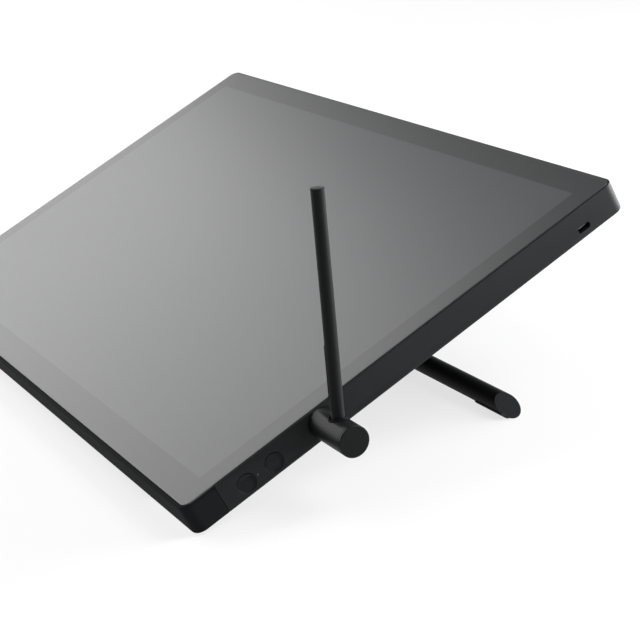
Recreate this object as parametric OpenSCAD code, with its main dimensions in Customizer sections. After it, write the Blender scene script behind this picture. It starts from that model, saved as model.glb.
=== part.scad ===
// Pen display: a graphics tablet with its own screen, standing on its fold-out bar with the pen parked.
// Origin: middle of the front foot's sole on the desk. +X: side with the controls, +Y: away from the user.

/* [Screen] */
// Width of the picture
active_w = 526.9; // [440:0.1:600]
// Depth of the picture, front to back
active_d = 296.4; // [250:0.1:340]
// Dark border left and right of the picture
bezel_side = 16.2; // [15:0.1:30]
// Dark border in front of the picture
bezel_front = 19.7; // [18:0.1:40]
// Dark border behind the picture
bezel_back = 19.3; // [18:0.1:40]
// Thickness of the cover glass
glass_t = 1.1; // [0.7:0.1:2]
// Corner radius of the cover glass
glass_r = 6; // [3:0.5:7]
// How far the glass stands above the frame's rim
glass_proud = 0.6; // [0.2:0.1:0.9]
// Gap between the glass edge and the rim
glass_gap = 0.25; // [0.15:0.05:0.5]
// Thickness of the adhesive gasket under the glass
gasket_t = 0.5; // [0.3:0.1:1]
// Width of the adhesive gasket
gasket_w = 3; // [2:0.1:3.4]
// Setback of the gasket from the glass edge
gasket_inset = 0.4; // [0.2:0.1:0.8]
// Thickness of the liquid crystal cell
cell_t = 1.3; // [1:0.1:2.5]
// Border of the cell round the picture
cell_border = 3; // [2:0.5:4]
// Thickness of the backlight
backlight_t = 2.5; // [2:0.1:5]
// Border of the backlight round the picture
backlight_border = 5; // [4:0.5:6]
// Thickness of the pen sensor board
sensor_t = 1; // [0.6:0.1:2]
// Thickness of the sensor's steel shield
shield_t = 0.3; // [0.2:0.1:1]
// Border of the sensor board and the shield round the picture
sensor_border = 4; // [3:0.5:5]

/* [Housing] */
// Width of the rim outside the glass at the sides and the back
rim_w = 1.3; // [1:0.1:2]
// Width of the front rail's lip outside the glass
front_lip = 2.6; // [2:0.1:3]
// Corner radius of the housing seen from above
corner_r = 7.5; // [7:0.5:14]
// Wall of the frame
wall_t = 2.2; // [1.6:0.1:3]
// Depth of the ledge that carries the glass
ledge_d = 6.4; // [6:0.1:6.8]
// Thickness of the ledge that carries the glass
ledge_t = 1.5; // [1:0.1:2]
// Rounding of the frame's lower edge
lower_r = 1.6; // [0.5:0.1:2]
// Rounding of the frame's upper edge
upper_r = 0.5; // [0.2:0.1:0.8]
// Rounding of the front rail's upper edge
rail_r = 2.2; // [0.5:0.1:2.3]
// Distance from the front to the seam between front rail and side frame
seam_y = 23.8; // [18:0.1:30]
// Width of that seam
seam_gap = 0.3; // [0.1:0.05:0.6]
// Thickness of the rear cover
cover_t = 2; // [1.5:0.1:3]
// Gap round the rear cover
cover_gap = 0.25; // [0.15:0.05:0.5]
// Floor thickness of the metal chassis
chassis_t = 1.2; // [1:0.1:2]
// Wall thickness of the metal chassis
chassis_wall = 1.6; // [1:0.1:2]
// Play between the backlight and the chassis wall
chassis_play = 0.5; // [0.2:0.1:1]
// Thickness of the frame's fixing lugs
lug_t = 1.5; // [1:0.1:2]
// Length of each fixing lug
lug_l = 60; // [30:1:90]
// How far a lug reaches under the chassis
lug_lap = 8; // [7:0.5:12]
// Distance of the front and back lugs from the middle
lug_x = 190; // [160:1:220]

/* [Stand] */
// Tilt of the screen when the stand is open
tilt = 20; // [16:1:25]
// Distance from the back to the stand's hinge
hinge_back = 126.2; // [110:0.1:140]
// Distance of each arm from the middle
arm_x = 150; // [125:1:165]
// Diameter of the stand bar
bar_d = 13.9; // [12:0.1:15]
// Angle of the bar's slanted ends
bar_miter = 45; // [30:1:50]
// Least distance of the bar's recess from the cover's edge
bar_margin = 0.9; // [0.5:0.1:30]
// Length of the rubber pad at each end of the bar
pad_l = 33; // [20:1:80]
// How far the pad's sole stands below the bar
pad_proud = 0.5; // [0.2:0.1:1]
// How far the pad's round sides stand out beyond its sole
pad_round = 0.4; // [0.1:0.1:0.8]
// How deep the pad is let into the bar
pad_depth = 1.4; // [0.8:0.1:2]
// Angle that the pad covers round the bar
pad_angle = 120; // [80:5:150]
// Width of an arm along the hinge
arm_w = 16; // [12:0.5:20]
// Thickness of an arm
arm_t = 8; // [6:0.5:9]
// Width of the saddle that holds the bar
saddle_w = 26; // [24:0.5:32]
// Height of the saddle above the bar
saddle_h = 10; // [8:0.5:16]
// Diameter of the hinge pin
pin_d = 5; // [4:0.1:6]
// Thickness of the hinge bracket's steel
bracket_t = 1.5; // [1:0.1:2]
// Thickness of the bracket's ears
ear_t = 2; // [1.5:0.1:3]
// Thickness of the friction washers
washer_t = 0.5; // [0.3:0.1:1]
// Gap at the arm's stop when the stand is open
stop_gap = 0.2; // [0.1:0.05:0.4]
// Clearance round the folded bar
recess_gap = 0.4; // [0.3:0.1:1]
// Wall of the recess for the stand
tray_wall = 1.3; // [1.2:0.1:2.5]
// Gap between that recess and the chassis
tray_gap = 0.3; // [0.2:0.1:1]

/* [Feet] */
// Gap between the front lower edge and the desk
front_gap = 0.6; // [0.3:0.1:2]
// Distance from the front to the front foot
foot_y = 3.6; // [3.5:0.1:8]
// Width of the front foot
foot_d = 6.4; // [4:0.1:10]
// Length of the front foot
foot_l = 420; // [200:5:470]
// Diameter of the rear feet
rear_foot_d = 16; // [10:0.5:20]

/* [Controls] */
// Diameter of the two push buttons
button_d = 11.5; // [8:0.1:13]
// Gap round a button
button_gap = 0.3; // [0.2:0.05:0.5]
// Chamfer round a button's hole
hole_chamfer = 0.45; // [0.2:0.05:0.6]
// Travel of a button
button_travel = 0.4; // [0.2:0.05:0.6]
// How far a button's face lies below the side
button_sink = 0.2; // [0:0.05:0.5]
// Height of the buttons above the rear cover
button_z = 8.9; // [8.5:0.1:9.5]
// Distance from the front to the power button
power_y = 41.3; // [38:0.1:44]
// Distance from the front to the function button
function_y = 61.7; // [59:0.1:68]
// Distance from the front to the status light
led_y = 49.6; // [49:0.1:50]
// Diameter of the status light
led_d = 1; // [0.6:0.1:1.4]
// Spacing of the raised dots on the power button
dot_pitch = 1.8; // [1.4:0.1:2.6]
// Diameter of a raised dot
dot_d = 1; // [0.6:0.1:1.2]
// Height of a raised dot
dot_h = 0.35; // [0.1:0.05:0.4]
// Distance from the back to the data socket
usb_from_back = 32; // [28:0.1:48]
// Height of the data socket above the rear cover
usb_z = 6.7; // [6:0.1:8.5]
// Width of the data socket's shell
usb_w = 8.94; // [8:0.01:10]
// Height of the data socket's shell
usb_h = 3.16; // [3:0.01:3.6]

/* [Pen holder] */
// Diameter of the pen holder
holder_d = 19.6; // [16:0.1:20]
// How far the pen holder stands out from the side
holder_l = 39.6; // [34:0.1:60]
// Distance from the front to the pen holder
holder_y = 99.4; // [92:0.1:108]
// Distance of the pen hole from the side
hole_x = 20.6; // [16:0.1:24]
// Gap between the pen holder and the side
holder_gap = 0.3; // [0.2:0.05:0.5]
// Diameter of the peg that plugs into the side
peg_d = 8; // [6:0.1:9]
// Running clearance of the peg
peg_fit = 0.1; // [0.05:0.01:0.1]
// Thickness of the pen holder's end cap
cap_t = 2.2; // [1.5:0.1:4]

/* [Pen] */
// Diameter of the pen
pen_d = 8.1; // [7.5:0.1:9]
// Height of the pen's tail above the pen holder's axis
pen_top = 147; // [120:1:170]
// Lean of the parked pen, away from the user
pen_lean = 23.85; // [0:0.05:30]
// Clearance round the parked pen
pen_gap = 0.3; // [0.2:0.05:0.6]
// Length of the cone at the pen's tip
cone_l = 10.5; // [8:0.1:12]
// Diameter of the cone's small end
cone_d = 2.8; // [2.4:0.1:3.6]
// How far the nib stands out of the cone
nib_out = 1.7; // [1:0.1:2]
// Diameter of the nib
nib_d = 1.7; // [1.2:0.1:1.9]
// Wall of the pen's barrel
barrel_wall = 0.95; // [0.7:0.05:1.1]
// Length of the pen's side switch
switch_l = 33; // [20:0.5:40]
// Width of the pen's side switch
switch_w = 4.4; // [3:0.1:5]
// How far the side switch stands above the barrel
switch_proud = 0.4; // [0.2:0.05:0.6]

/* [Hidden] */
$fn = 64;
eps = 0.01;

// Colours
frame_black = "#2a2b2d";
glass_grey = "#6f7072";
rubber_black = "#1c1c1d";
steel_grey = "#8d9094";
board_green = "#1f4a34";

// Plan sizes
glass_w = active_w + 2 * bezel_side;
glass_d = active_d + bezel_front + bezel_back;
body_w = glass_w + 2 * rim_w;
body_d = front_lip + glass_d + rim_w;
side_x = body_w / 2;
glass_mid_y = front_lip + glass_d / 2;
active_mid_y = front_lip + bezel_front + active_d / 2;
chassis_w = active_w + 2 * (backlight_border + chassis_play + chassis_wall);
chassis_d = active_d + 2 * (backlight_border + chassis_play + chassis_wall);
chassis_front = active_mid_y - chassis_d / 2;
chassis_back = active_mid_y + chassis_d / 2;
cover_inset = wall_t + cover_gap;
hinge_y = body_d - hinge_back;
usb_y = body_d - usb_from_back;

// Desk plane in the tablet's own frame, where z = 0 is the rear cover's outer face
function desk_z(y) = -front_gap - y * tan(tilt);
foot_mid = foot_y + foot_d / 2;
foot_h = -desk_z(foot_y + foot_d);

// Stand: the bar lies on the desk below the hinge and folds forward by a quarter turn
bar_r = bar_d / 2;
sole_r = bar_r + pad_proud;
pad_out_r = sole_r + pad_round;
fold_gap = 0.3;
hinge_z = fold_gap - foot_h + pad_out_r;
bar_z = sole_r / cos(tilt) + desk_z(hinge_y);
arm_l = hinge_z - bar_z;
fold_y = hinge_y - arm_l;
recess_z = hinge_z + pad_out_r + recess_gap;
recess_half = pad_out_r + recess_gap;
tray_z = recess_z + tray_wall;

// Levels from the chassis up to the glass
floor_z = tray_z + tray_gap;
shield_z = floor_z + chassis_t;
sensor_z = shield_z + shield_t;
backlight_z = sensor_z + sensor_t;
cell_z = backlight_z + backlight_t;
glass_z = cell_z + cell_t;
glass_top = glass_z + glass_t;
rim_z = glass_top - glass_proud;
ledge_z = glass_z - gasket_t;

// Stand details
recess_end_gap = 1.5;
recess_x = side_x - cover_inset - bar_margin - tray_wall;
bar_tip = recess_x - recess_end_gap;
bar_end = bar_tip - bar_r * tan(bar_miter);
pad_end = 4;
pad_fit = 0.1;
knuckle_r = recess_z - bracket_t - stop_gap - hinge_z;
pin_fit = 0.05;
pin_seat = 0.02;
washer_fit = 0.1;
washer_in = 0.2;
ear_r = 5.2;
ear_x = arm_w / 2 + washer_t + 2 * washer_fit;
pin_head_t = 1;
pin_head_d = pin_d + 2;
pin_l = 2 * (ear_x + ear_t);
bracket_side = 2;
bracket_w = 2 * (ear_x + ear_t + bracket_side);
bracket_front = 7;
bracket_back = 17;
hinge_screw_back = 13;
hinge_screw_y = hinge_y + hinge_screw_back;
hinge_screw_x = 7;
hinge_head_h = 1.6;
channel_side = 2;
channel_back = 0.5;
channel_w = max(bracket_w, saddle_w, pin_l + 2 * pin_head_t) + 2 * channel_side;
saddle_share = 0.38;
saddle_cover = saddle_share * bar_r;
saddle_fit = 0.05;
saddle_r = 4;
arm_r = arm_t / 2 - 1;
arm_screw_x = 7;
arm_screw_in = 12;
arm_screw_space = 0.5;
m4_d = 4;
m4_head_d = 7;
m4_head_h = 2.6;
m4_sink = 0.4;
m4_seat = m4_sink + m4_head_h - bar_r;
pad_slot_angle = 2;

// Rear cover details
vesa_pitch = 100;
vesa_front = 20;
vesa_y = fold_y + vesa_pitch / 2 - vesa_front;
insert_l = 8;
insert_d = 6;
insert_bore = 3.3;
insert_sink = 0.3;
boss_d = 11;
boss_cap = 1;
post_d = 7;
post_side = 51;
post_x = side_x - post_side;
post_inner_x = 90;
post_front_y = 45;
post_back = 38;
post_back_y = body_d - post_back;
post_mid = 60;
post_mid_y = fold_y + post_mid;
posts = concat(
    [for (x = [-post_x, -post_inner_x, post_inner_x, post_x], y = [post_front_y, post_back_y]) [x, y]],
    [for (x = [-post_x, post_x]) [x, post_mid_y]]
);
m3_d = 3;
m3_head_d = 5.8;
m3_head_h = 0.9;
m3_l = 8;
screw_fit = 0.2;
hex_share = 0.45;
hex_depth = 0.7;
tip_gap = 0.2;
head_sink = 0.1;
vent_count = 15;
vent_pitch = 8;
vent_w = 2.4;
vent_l = 24;
rear_foot_side = 46;
rear_foot_back = 20;
rear_foot_x = side_x - rear_foot_side;
rear_foot_y = body_d - rear_foot_back;

// Fixing lugs between frame and chassis, each with one or two screws
lug_z = floor_z - lug_t;
lug_screw_in = lug_lap / 2;
side_lug_gap = 3;
side_lug_y0 = fold_y + recess_half + tray_wall + side_lug_gap;
side_lug_l = 140;
side_lug_screw = 25;
m25_d = 2.5;
m25_head_d = 4.4;
m25_head_h = 1.5;
lug_screws = concat(
    [for (x = [-lug_x, lug_x], y = [chassis_front + lug_screw_in, chassis_back - lug_screw_in]) [x, y]],
    [for (s = [-1, 1], y = [side_lug_y0 + side_lug_screw, side_lug_y0 + side_lug_l - side_lug_screw])
        [s * (chassis_w / 2 - lug_screw_in), y]]
);

// Electronics
board_t = 1.6;
board_w = 150;
board_d = 70;
board_front = 12;
board_y = vesa_y + vesa_pitch / 2 + board_front;
standoff_l = 2.5;
standoff_d = 5;
standoff_in = 6;
board_z = floor_z - standoff_l - board_t;
soc_w = 20;
soc_t = 1.5;
soc_y = board_y + board_d / 2;
memory_w = 12;
memory_d = 9;
memory_t = 1;
memory_gap = 8;
memory_x = (soc_w + memory_w) / 2 + memory_gap;
memory_back = 6;
power_chip_w = 7;
power_chip_x = 60;
power_chip_front = 20;
plug_w = 22;
plug_d = 5;
plug_t = 2;
plug_x = 50;
plug_back = 28;
pad_t = 1;
pad_in = 1;
spreader_t = 1.2;
spreader_w = 90;
spreader_d = 50;
spreader_r = 4;
driver_w = 200;
driver_d = 20;
driver_t = 1.2;
driver_set = 2;
driver_y = chassis_front + driver_set;
flex_t = 0.2;
flex_w = 40;
flex_pitch = 50;
flex_count = 4;
flex_out = 0.6;
flex_rise = 0.3;
flex_front = chassis_front - flex_out;

// Data socket
usb_l = 7.3;
usb_wall = 0.25;
usb_mouth_gap = 0.5;
usb_set = 1;
usb_back = side_x - usb_set - usb_l;
tongue_w = 6.7;
tongue_t = 0.7;
tongue_l = 5.2;
usb_board_t = 1.2;
usb_board_w = 16;
usb_board_d = 22;
usb_board_gap = 0.3;
usb_board_z = usb_z - usb_h / 2 - usb_board_t;
usb_rib_w = 3;
usb_rib_in = 1;

// Buttons and their board, which stands against the chassis wall
flange_gap = 0.3;
flange_t = 1;
ear_over = 1.2;
button_ear_w = 7;
stem_d = 3.6;
switch_body = 6;
switch_h = 3.5;
switch_plunger = 0.8;
plunger_d = 3;
contact_gap = 0.1;
button_board_t = 1;
button_board_x = chassis_w / 2;
button_board_over = 9;
button_board_l = function_y - power_y + 2 * button_board_over;
button_board_mid = (power_y + function_y) / 2;
button_board_low = 0.4;
button_board_high = 3;
button_board_z0 = cover_t + button_board_low;
button_board_z1 = floor_z + button_board_high;
plunger_x = button_board_x + button_board_t + switch_h;
hole_r = button_d / 2 + button_gap;
dish_rim = 0.55;
dish_r = button_d / 2 - dish_rim;
chord_share = 0.54;
dish_chord = chord_share * dish_r;
dish_depth = 0.8;
dish_slope = 4;
dot_margin = 1.05;
dot_inset = 0.15;
led_h = 0.6;
led_w = 1.6;
light_fit = 0.1;
light_gap = 0.1;
light_sink = 0.05;

// Pen holder and pen, along the pen's own axis from the pen holder's axis up
holder_r = holder_d / 2;
holder_z = rim_z / 2;
peg_depth = 7;
peg_r = peg_d / 2;
socket_wall = 2.4;
socket_l = 6;
cap_wall = 3.6;
cap_spigot_r = holder_r - cap_wall;
cap_spigot_l = 3;
cap_space = 0.3;
cap_fit = 0.05;
cap_chamfer = 0.4;
flare_r = 3;
pen_r = pen_d / 2;
cone_top = 5;
cone_bottom = cone_top - cone_l;
nib_fit = 0.1;
nib_r = nib_d / 2;
nib_end = 17;
nib_flat = 0.6;
bore_r = pen_r - barrel_wall;
tip_top = 14;
spigot_l = 6;
spigot_fit = 0.05;
coil_gap = 0.5;
coil_r = bore_r - coil_gap;
coil_z0 = 4;
coil_l = 8.5;
coil_fit = 0.15;
sensor_gap = 0.7;
sensor_l = 2.6;
tail_t = 2;
tail_spigot = 6;
pen_board_w = 4.2;
pen_board_t = 0.8;
pen_board_gap = 3;
pen_board_z = tip_top + spigot_l + pen_board_gap;
pen_board_l = 70;
pen_board_off = -1.6;
switch_z = 37.5;
switch_side = 225;
switch_gap = 0.3;
switch_lap = 0.2;
switch_in = bore_r - switch_lap;

// Shapes

module in_use() {
    translate([0, -foot_mid * cos(tilt) + desk_z(foot_mid) * sin(tilt), front_gap * cos(tilt)])
        rotate([tilt, 0, 0])
            children();
}

module rounded_rect(w, d, r) {
    square([w - 2 * r, d], center = true);
    square([w, d - 2 * r], center = true);
    for (x = [-1, 1], y = [-1, 1])
        translate([x * (w / 2 - r), y * (d / 2 - r)])
            circle(r);
}

module stadium(l, w) {
    square([l - w, w], center = true);
    for (s = [-1, 1])
        translate([s * (l - w) / 2, 0])
            circle(d = w);
}

module slab(w, d, t, y, z) {
    translate([-w / 2, y - d / 2, z])
        cube([w, d, t]);
}

module both_sides() {
    children();
    mirror([1, 0, 0])
        children();
}

module along_x(l) {
    translate([-l / 2, 0, 0])
        rotate([90, 0, 90])
            linear_extrude(l)
                children();
}

module x_cylinder(r, l) {
    rotate([0, 90, 0])
        cylinder(r = r, h = l, center = true);
}

module on_side(y, z) {
    translate([side_x, y, z])
        rotate([0, 90, 0])
            children();
}

module screw(d, l, head_d, head_h) {
    difference() {
        union() {
            cylinder(d = d, h = l);
            translate([0, 0, -head_h])
                cylinder(d = head_d, h = head_h);
        }
        translate([0, 0, -head_h - eps])
            cylinder(d = head_d * hex_share, h = head_h * hex_depth, $fn = 6);
    }
}

// Frame: one wall section swept round the housing, measured from the corner's centre outwards

module wall_section(top_r) {
    difference() {
        union() {
            translate([corner_r - wall_t, 0])
                square([wall_t, rim_z]);
            translate([corner_r - ledge_d, ledge_z - ledge_t])
                square([ledge_d, ledge_t]);
        }
        translate([corner_r, rim_z])
            corner_cut(top_r);
        translate([corner_r, 0])
            mirror([0, 1])
                corner_cut(lower_r);
    }
}

module corner_cut(r) {
    difference() {
        translate([-r, -r])
            square(2 * r);
        translate([-r, -r])
            circle(r);
    }
}

module side_leg(y0, y1) {
    translate([side_x - corner_r, y1, 0])
        rotate([90, 0, 0])
            linear_extrude(y1 - y0)
                children();
}

module cross_leg(y, turn) {
    rotate([0, 0, turn])
        translate([0, y - corner_r, 0])
            rotate([0, 0, 90])
                rotate([90, 0, 0])
                    translate([0, 0, -side_x + corner_r])
                        linear_extrude(2 * (side_x - corner_r))
                            children();
}

module frame_corner(y, start) {
    translate([side_x - corner_r, y, 0])
        rotate([0, 0, start])
            rotate_extrude(angle = 90)
                children();
}

module glass_pocket(grow) {
    translate([0, glass_mid_y, ledge_z])
        linear_extrude(glass_top)
            rounded_rect(glass_w + 2 * grow, glass_d + 2 * grow, glass_r + grow);
}

// Stand recess, seen from above; grow adds the recess's own wall
module stand_plan(grow) {
    translate([0, fold_y])
        square([2 * (recess_x + grow), 2 * (recess_half + grow)], center = true);
    for (x = [-arm_x, arm_x])
        translate([x - channel_w / 2 - grow, fold_y])
            square([channel_w + 2 * grow, hinge_y + bracket_back + channel_back + grow - fold_y]);
}

module at_vesa() {
    for (x = [-1, 1], y = [-1, 1])
        translate([x * vesa_pitch / 2, vesa_y + y * vesa_pitch / 2, 0])
            children();
}

module at_posts() {
    for (p = posts)
        translate([p[0], p[1], 0])
            children();
}

module at_lug_screws() {
    for (p = lug_screws)
        translate([p[0], p[1], 0])
            children();
}

module at_hinge_screws() {
    for (a = [-arm_x, arm_x], x = [-hinge_screw_x, hinge_screw_x])
        translate([a + x, hinge_screw_y, 0])
            children();
}

module at_arm_screws() {
    for (a = [-arm_x, arm_x], x = [-arm_screw_x, arm_screw_x])
        translate([a + x, hinge_y, bar_z])
            children();
}

module at_hinges() {
    for (x = [-arm_x, arm_x])
        translate([x, hinge_y, hinge_z])
            children();
}

// Screen stack, from the glass down

module cover_glass() {
    color(glass_grey)
        in_use()
            translate([0, glass_mid_y, glass_z])
                linear_extrude(glass_t)
                    rounded_rect(glass_w, glass_d, glass_r);
}

module glass_gasket() {
    outer = gasket_inset;
    inner = gasket_inset + gasket_w;
    color(rubber_black)
        in_use()
            translate([0, glass_mid_y, ledge_z])
                linear_extrude(gasket_t)
                    difference() {
                        rounded_rect(glass_w - 2 * outer, glass_d - 2 * outer, glass_r - outer);
                        rounded_rect(glass_w - 2 * inner, glass_d - 2 * inner, glass_r - outer);
                    }
}

module lcd_cell() {
    color("#303336")
        in_use()
            slab(active_w + 2 * cell_border, active_d + 2 * cell_border, cell_t, active_mid_y, cell_z);
}

module backlight_unit() {
    w = active_w + 2 * backlight_border;
    d = active_d + 2 * backlight_border;
    color("#e8e9ea")
        in_use()
            slab(w, d, backlight_t, active_mid_y, backlight_z);
}

module sensor_board() {
    color(board_green)
        in_use()
            slab(active_w + 2 * sensor_border, active_d + 2 * sensor_border, sensor_t, active_mid_y, sensor_z);
}

module sensor_shield() {
    color(steel_grey)
        in_use()
            slab(active_w + 2 * sensor_border, active_d + 2 * sensor_border, shield_t, active_mid_y, shield_z);
}

module chassis() {
    tub_w = chassis_w - 2 * chassis_wall;
    tub_d = chassis_d - 2 * chassis_wall;
    color("#9b9ea2")
        in_use()
            difference() {
                union() {
                    slab(chassis_w, chassis_d, cell_z - floor_z, active_mid_y, floor_z);
                    at_posts()
                        translate([0, 0, cover_t])
                            cylinder(d = post_d, h = floor_z - cover_t + eps);
                    for (x = [-1, 1], y = [standoff_in, board_d - standoff_in])
                        translate([x * (board_w / 2 - standoff_in), board_y + y, floor_z - standoff_l])
                            cylinder(d = standoff_d, h = standoff_l + eps);
                }
                slab(tub_w, tub_d, glass_top, active_mid_y, shield_z);
                at_posts()
                    translate([0, 0, cover_t - eps])
                        cylinder(d = m3_d + screw_fit, h = floor_z - cover_t);
                at_lug_screws()
                    translate([0, 0, floor_z - eps])
                        cylinder(d = m25_d + screw_fit, h = chassis_t + 2 * eps);
                at_hinge_screws()
                    translate([0, 0, floor_z - eps])
                        cylinder(d = m3_d + screw_fit, h = chassis_t + 2 * eps);
            }
}

// Frame and covers

module side_lug() {
    translate([chassis_w / 2 - lug_lap, side_lug_y0, lug_z])
        cube([side_x - wall_t - chassis_w / 2 + lug_lap + eps, side_lug_l, lug_t]);
}

module side_frame() {
    color(frame_black)
        in_use()
            difference() {
                union() {
                    both_sides() {
                        side_leg(seam_y + seam_gap / 2, body_d - corner_r)
                            wall_section(upper_r);
                        frame_corner(body_d - corner_r, 0)
                            wall_section(upper_r);
                        side_lug();
                        translate([lug_x - lug_l / 2, chassis_back - lug_lap, lug_z])
                            cube([lug_l, body_d - wall_t - chassis_back + lug_lap + eps, lug_t]);
                    }
                    cross_leg(body_d, 0)
                        wall_section(upper_r);
                }
                glass_pocket(glass_gap);
                for (y = [power_y, function_y])
                    on_side(y, button_z) {
                        cylinder(r = hole_r, h = 4 * wall_t, center = true);
                        translate([0, 0, -hole_chamfer])
                            cylinder(r1 = hole_r, r2 = hole_r + 2 * hole_chamfer, h = 2 * hole_chamfer);
                    }
                on_side(led_y, button_z)
                    cylinder(d = led_d + 2 * light_fit, h = 4 * wall_t, center = true);
                on_side(holder_y, holder_z)
                    cylinder(r = peg_r + peg_fit, h = 4 * wall_t, center = true);
                on_side(usb_y, usb_z)
                    linear_extrude(4 * wall_t, center = true)
                        rotate([0, 0, 90])
                            stadium(usb_w + 2 * usb_mouth_gap, usb_h + 2 * usb_mouth_gap);
                at_lug_screws()
                    translate([0, 0, lug_z - eps])
                        cylinder(d = m25_d + screw_fit, h = lug_t + 2 * eps);
            }
}

module front_rail() {
    color(frame_black)
        in_use()
            difference() {
                union() {
                    both_sides() {
                        side_leg(corner_r, seam_y - seam_gap / 2)
                            wall_section(rail_r);
                        frame_corner(corner_r, -90)
                            wall_section(rail_r);
                        translate([lug_x - lug_l / 2, wall_t - eps, lug_z])
                            cube([lug_l, chassis_front + lug_lap - wall_t + eps, lug_t]);
                    }
                    cross_leg(0, 180)
                        wall_section(rail_r);
                }
                glass_pocket(glass_gap);
                at_lug_screws()
                    translate([0, 0, lug_z - eps])
                        cylinder(d = m25_d + screw_fit, h = lug_t + 2 * eps);
            }
}

module rear_cover() {
    cover_r = corner_r - cover_inset;
    color(frame_black)
        in_use()
            difference() {
                union() {
                    translate([0, body_d / 2, 0])
                        linear_extrude(cover_t)
                            rounded_rect(body_w - 2 * cover_inset, body_d - 2 * cover_inset, cover_r);
                    linear_extrude(tray_z)
                        stand_plan(tray_wall);
                    at_vesa()
                        cylinder(d = boss_d, h = insert_sink + insert_l + boss_cap);
                    translate([usb_back, usb_y - usb_board_d / 2 + usb_rib_in, 0])
                        cube([usb_rib_w, usb_board_d - 2 * usb_rib_in, usb_board_z]);
                }
                translate([0, 0, -eps])
                    linear_extrude(recess_z + eps)
                        stand_plan(0);
                at_vesa()
                    translate([0, 0, -eps])
                        cylinder(d = insert_d + 2 * pin_seat, h = insert_sink + insert_l + eps);
                at_posts()
                    rear_screw_hole();
                at_hinge_screws()
                    translate([0, 0, recess_z - eps])
                        cylinder(d = m3_d + screw_fit, h = tray_wall + 2 * eps);
                for (i = [0 : vent_count - 1])
                    translate([(i - (vent_count - 1) / 2) * vent_pitch, soc_y, -eps])
                        linear_extrude(cover_t + 2 * eps)
                            rotate([0, 0, 90])
                                stadium(vent_l, vent_w);
            }
}

module rear_screw_hole() {
    translate([0, 0, -eps])
        cylinder(d = m3_d + screw_fit, h = cover_t + 2 * eps);
    translate([0, 0, -eps])
        cylinder(d = m3_head_d + 2 * screw_fit, h = m3_head_h + head_sink + eps);
}

module cover_screws() {
    color(steel_grey)
        in_use()
            at_posts()
                translate([0, 0, m3_head_h + head_sink])
                    screw(m3_d, m3_l, m3_head_d, m3_head_h);
}

module frame_screws() {
    color(steel_grey)
        in_use()
            at_lug_screws()
                translate([0, 0, lug_z])
                    screw(m25_d, lug_t + chassis_t - tip_gap, m25_head_d, m25_head_h);
}

module vesa_inserts() {
    color("#b08d4a")
        in_use()
            at_vesa()
                translate([0, 0, insert_sink])
                    difference() {
                        cylinder(d = insert_d, h = insert_l);
                        translate([0, 0, -eps])
                            cylinder(d = insert_bore, h = insert_l + 2 * eps);
                    }
}

module front_foot() {
    y1 = foot_y + foot_d;
    color(rubber_black)
        in_use()
            along_x(foot_l)
                polygon([[foot_y, 0], [y1, 0], [y1, desk_z(y1)], [foot_y, desk_z(foot_y)]]);
}

module rear_feet() {
    color(rubber_black)
        in_use()
            for (x = [-rear_foot_x, rear_foot_x])
                translate([x, rear_foot_y, -foot_h])
                    cylinder(d = rear_foot_d, h = foot_h);
}

// Electronics

module main_board() {
    color(board_green)
        in_use()
            slab(board_w, board_d, board_t, soc_y, board_z);
}

module board_chips() {
    color("#202124")
        in_use() {
            slab(soc_w, soc_w, soc_t, soc_y, board_z - soc_t);
            for (x = [-1, 1]) {
                translate([x * memory_x, 0, 0])
                    slab(memory_w, memory_d, memory_t, soc_y + memory_back, board_z - memory_t);
                translate([x * power_chip_x, 0, 0])
                    slab(power_chip_w, power_chip_w, memory_t, soc_y - power_chip_front, board_z - memory_t);
                translate([x * plug_x, 0, 0])
                    slab(plug_w, plug_d, plug_t, soc_y + plug_back, board_z - plug_t);
            }
        }
}

module thermal_pad() {
    color("#8aa3b8")
        in_use()
            slab(soc_w - 2 * pad_in, soc_w - 2 * pad_in, pad_t, soc_y, board_z - soc_t - pad_t);
}

module heat_spreader() {
    color("#b9bcc0")
        in_use()
            translate([0, soc_y, board_z - soc_t - pad_t - spreader_t])
                linear_extrude(spreader_t)
                    rounded_rect(spreader_w, spreader_d, spreader_r);
}

module panel_driver_board() {
    color(board_green)
        in_use()
            slab(driver_w, driver_d, driver_t, driver_y + driver_d / 2, floor_z - driver_t);
}

module panel_flexes() {
    cell_front = active_mid_y - active_d / 2 - cell_border;
    top_z = cell_z + flex_rise;
    low_z = floor_z - driver_t / 2;
    color("#a3742b")
        in_use()
            for (i = [0 : flex_count - 1])
                translate([(i - (flex_count - 1) / 2) * flex_pitch, 0, 0])
                    along_x(flex_w) {
                        translate([flex_front, top_z])
                            square([cell_front - flex_front, flex_t]);
                        translate([flex_front, low_z])
                            square([flex_t, top_z - low_z + flex_t]);
                        translate([flex_front, low_z])
                            square([driver_y - flex_front, flex_t]);
                    }
}

module usb_board() {
    color(board_green)
        in_use()
            translate([side_x - wall_t - usb_board_gap - usb_board_w, usb_y - usb_board_d / 2, usb_board_z])
                cube([usb_board_w, usb_board_d, usb_board_t]);
}

module usb_shell() {
    color(steel_grey)
        in_use()
            on_side(usb_y, usb_z)
                rotate([0, 0, 90])
                    translate([0, 0, -usb_set - usb_l])
                        difference() {
                            linear_extrude(usb_l)
                                stadium(usb_w, usb_h);
                            translate([0, 0, usb_wall])
                                linear_extrude(usb_l)
                                    stadium(usb_w - 2 * usb_wall, usb_h - 2 * usb_wall);
                        }
}

module usb_tongue() {
    color("#1a1a1b")
        in_use()
            translate([usb_back + usb_wall, usb_y - tongue_w / 2, usb_z - tongue_t / 2])
                cube([tongue_l, tongue_w, tongue_t]);
}

module button_board() {
    color(board_green)
        in_use()
            translate([button_board_x, button_board_mid - button_board_l / 2, button_board_z0])
                cube([button_board_t, button_board_l, button_board_z1 - button_board_z0]);
}

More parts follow.
